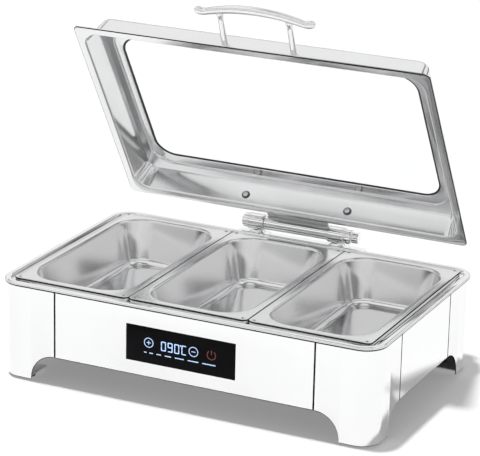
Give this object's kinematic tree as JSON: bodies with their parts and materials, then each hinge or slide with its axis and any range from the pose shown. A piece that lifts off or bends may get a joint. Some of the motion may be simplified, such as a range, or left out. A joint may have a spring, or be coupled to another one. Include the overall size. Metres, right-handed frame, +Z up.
{
  "type": "electric buffet server",
  "caption": "Rectangular stainless buffet server on corner legs with lift-out food pans in a water bath, a touch control and a hinged glass lid.",
  "frame": {"origin": "centre of the footprint box of the open server, on the floor", "axes": "+Z up; +X to the right when facing the control; +Y towards the hinge at the back"},
  "size_m": [0.564, 0.394, 0.522],
  "materials": {
    "polished_steel": "mirror-polished stainless sheet",
    "pan_steel": "satin stainless, deep drawn",
    "inner_steel": "dull inner sheet",
    "hinge_steel": "polished turned steel",
    "fastener_steel": "plain stainless screws and washers",
    "plate_aluminium": "rolled aluminium plate",
    "element_steel": "dark oxidised tube",
    "brass_parts": "plain brass",
    "black_rubber": "soft black rubber",
    "touch_glass": "black printed glass, gloss",
    "black_plastic": "fine moulded black",
    "green_board": "solder-masked board",
    "white_fibre": "mineral fibre mat",
    "lead_cover": "silicone sleeve",
    "clear_glass": "clear toughened glass"
  },
  "bodies": {
    "root": {"top_frame": "polished_steel", "front_panel": "polished_steel", "rear_panel": "polished_steel", "left_panel": "polished_steel", "right_panel": "polished_steel", "leg_front_left": "polished_steel", "leg_front_right": "polished_steel", "leg_rear_left": "polished_steel", "leg_rear_right": "polished_steel", "inner_shell": "inner_steel", "foot_plates": "inner_steel", "foot_pads": "black_rubber", "bottom_cover": "inner_steel", "bottom_screws": "fastener_steel", "heat_plate": "plate_aluminium", "heating_element": "element_steel", "element_clips": "fastener_steel", "heat_tray": "inner_steel", "insulation_mat": "white_fibre", "temperature_sensor": "brass_parts", "thermal_cutout": "black_plastic", "control_glass": "touch_glass", "control_housing": "black_plastic", "control_board": "green_board", "display_module": "black_plastic", "board_screws": "fastener_steel", "power_board": "green_board", "power_standoffs": "brass_parts", "power_inlet": "black_plastic", "inlet_pins": "brass_parts", "inlet_screws": "fastener_steel", "wiring": "lead_cover", "hinge_shelf": "hinge_steel", "shelf_screws": "fastener_steel", "hinge_bracket_left": "hinge_steel", "hinge_bracket_right": "hinge_steel", "hinge_shaft": "hinge_steel", "hinge_cap_left": "hinge_steel", "hinge_cap_right": "hinge_steel"},
    "water_pan": {"water_pan": "pan_steel"},
    "pan_left": {"pan_left": "pan_steel"},
    "pan_centre": {"pan_centre": "pan_steel"},
    "pan_right": {"pan_right": "pan_steel"},
    "lid": {"lid_shell": "polished_steel", "lid_glass": "clear_glass", "glass_gasket": "black_rubber", "glass_frame": "polished_steel", "hinge_barrel": "hinge_steel", "damper_cartridge": "black_plastic", "hinge_leaf": "hinge_steel", "leaf_bolts": "fastener_steel", "leaf_washers": "fastener_steel", "handle_posts": "hinge_steel", "handle_grip": "hinge_steel", "handle_screws": "fastener_steel"}
  },
  "joints": [
    {"name": "lid_hinge", "type": "hinge", "parent": "root", "child": "lid", "pos_m": [0, 0.184, 0.15], "axis": [-1, 0, 0], "range_deg": [-58, 32]},
    {"name": "water_pan_lift", "type": "slide", "parent": "root", "child": "water_pan", "axis": [0, -0.2079, 0.9781], "range_m": [0, 0.08]},
    {"name": "pan_left_lift", "type": "slide", "parent": "water_pan", "child": "pan_left", "axis": [0, -0.2079, 0.9781], "range_m": [0, 0.084]},
    {"name": "pan_centre_lift", "type": "slide", "parent": "water_pan", "child": "pan_centre", "axis": [0, -0.2079, 0.9781], "range_m": [0, 0.084]},
    {"name": "pan_right_lift", "type": "slide", "parent": "water_pan", "child": "pan_right", "axis": [0, -0.2079, 0.9781], "range_m": [0, 0.084]}
  ]
}
